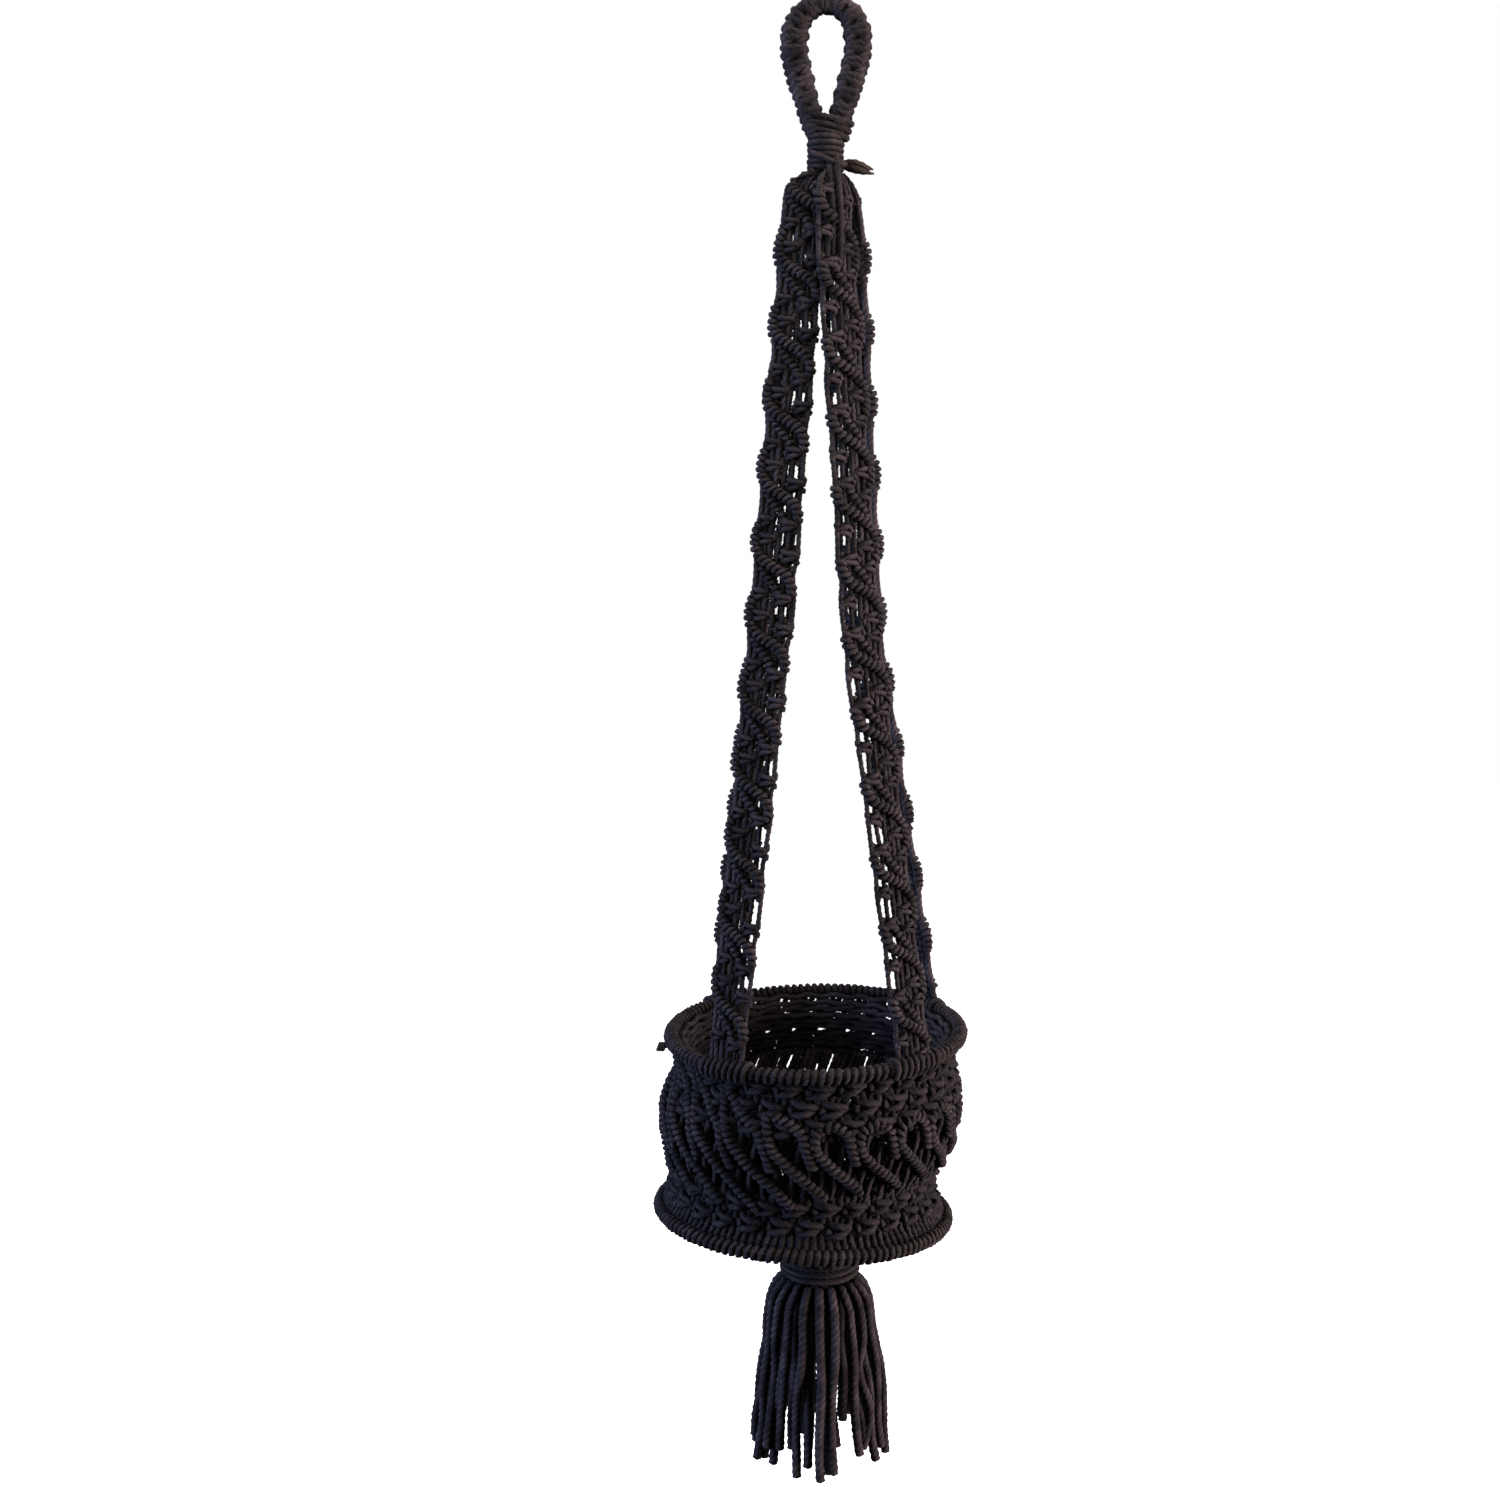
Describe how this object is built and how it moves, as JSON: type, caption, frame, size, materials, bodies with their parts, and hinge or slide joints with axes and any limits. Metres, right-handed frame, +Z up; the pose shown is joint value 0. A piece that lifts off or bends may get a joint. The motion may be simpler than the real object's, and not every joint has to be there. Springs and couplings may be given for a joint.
{
  "type": "hanging macrame planter",
  "caption": "Knotted cord plant hanger: covered hanging loop, four hitched straps, two wire hoops joined by a knotted wall, gathered net base and a tassel.",
  "frame": {"origin": "the point where a hook bears on the inside of the hanging loop, at the top of its eye", "axes": "+Z up along the hang, -Y the front with two straps side by side, +X the side of the neck wrap's tail"},
  "size_m": [0.2179, 0.21, 0.987],
  "materials": {
    "loop_cord": "matte twisted cotton cord, tightly wrapped",
    "neck_cord": "matte twisted cotton cord, tightly wrapped",
    "strap_cord": "matte twisted cotton cord",
    "basket_cord": "matte twisted cotton cord, knotted",
    "tassel_cord": "matte twisted cotton cord, cut ends",
    "hoop_wire": "plain satin steel wire"
  },
  "bodies": {
    "loop": {"loop_core_cords": "loop_cord", "loop_cover": "loop_cord"},
    "neck": {"neck_core_cords": "neck_cord", "neck_wrap": "neck_cord", "neck_wrap_tail": "neck_cord"},
    "crown_bundle": {"crown_filler_cords": "neck_cord"},
    "basket": {"crown_fold": "neck_cord", "strap_front_left_cords": "strap_cord", "strap_front_right_cords": "strap_cord", "strap_rear_left_cords": "strap_cord", "strap_rear_right_cords": "strap_cord", "strap_front_left_hitches": "strap_cord", "strap_front_right_hitches": "strap_cord", "strap_rear_left_hitches": "strap_cord", "strap_rear_right_hitches": "strap_cord", "upper_hoop": "hoop_wire", "upper_hoop_cover": "basket_cord", "strap_foot_hitches": "strap_cord", "hoop_cord_end": "basket_cord", "upper_knot_band": "basket_cord", "basket_wall": "basket_cord"},
    "base": {"lower_knot_band": "basket_cord", "lower_hoop_wire": "hoop_wire", "lower_hoop_cover": "basket_cord", "base_net": "basket_cord"},
    "tassel_bundle": {"tassel_filler_cords": "tassel_cord"},
    "tassel": {"tassel_core": "tassel_cord", "tassel_collar": "tassel_cord", "tassel_outer_strands": "tassel_cord", "tassel_middle_strands": "tassel_cord", "tassel_inner_strands": "tassel_cord"}
  },
  "joints": [
    {"name": "neck_twist", "type": "hinge", "parent": "loop", "child": "neck", "pos_m": [0, 0, -0.0752], "axis": [0, 0, 1], "range_deg": [-90, 90]},
    {"name": "side_swing", "type": "hinge", "parent": "neck", "child": "crown_bundle", "pos_m": [0, 0, -0.1094], "axis": [0, 1, 0], "range_deg": [-20, 20]},
    {"name": "fore_aft_swing", "type": "hinge", "parent": "crown_bundle", "child": "basket", "pos_m": [0, 0, -0.1094], "axis": [1, 0, 0], "range_deg": [-20, 20]},
    {"name": "basket_collapse", "type": "slide", "parent": "basket", "child": "base", "axis": [0, 0, 1], "range_m": [0, 0.045], "deforming": ["basket_wall"]},
    {"name": "tassel_side_swing", "type": "hinge", "parent": "base", "child": "tassel_bundle", "pos_m": [0, 0, -0.835], "axis": [0, 1, 0], "range_deg": [-22, 22]},
    {"name": "tassel_fore_aft_swing", "type": "hinge", "parent": "tassel_bundle", "child": "tassel", "pos_m": [0, 0, -0.835], "axis": [1, 0, 0], "range_deg": [-22, 22]}
  ]
}
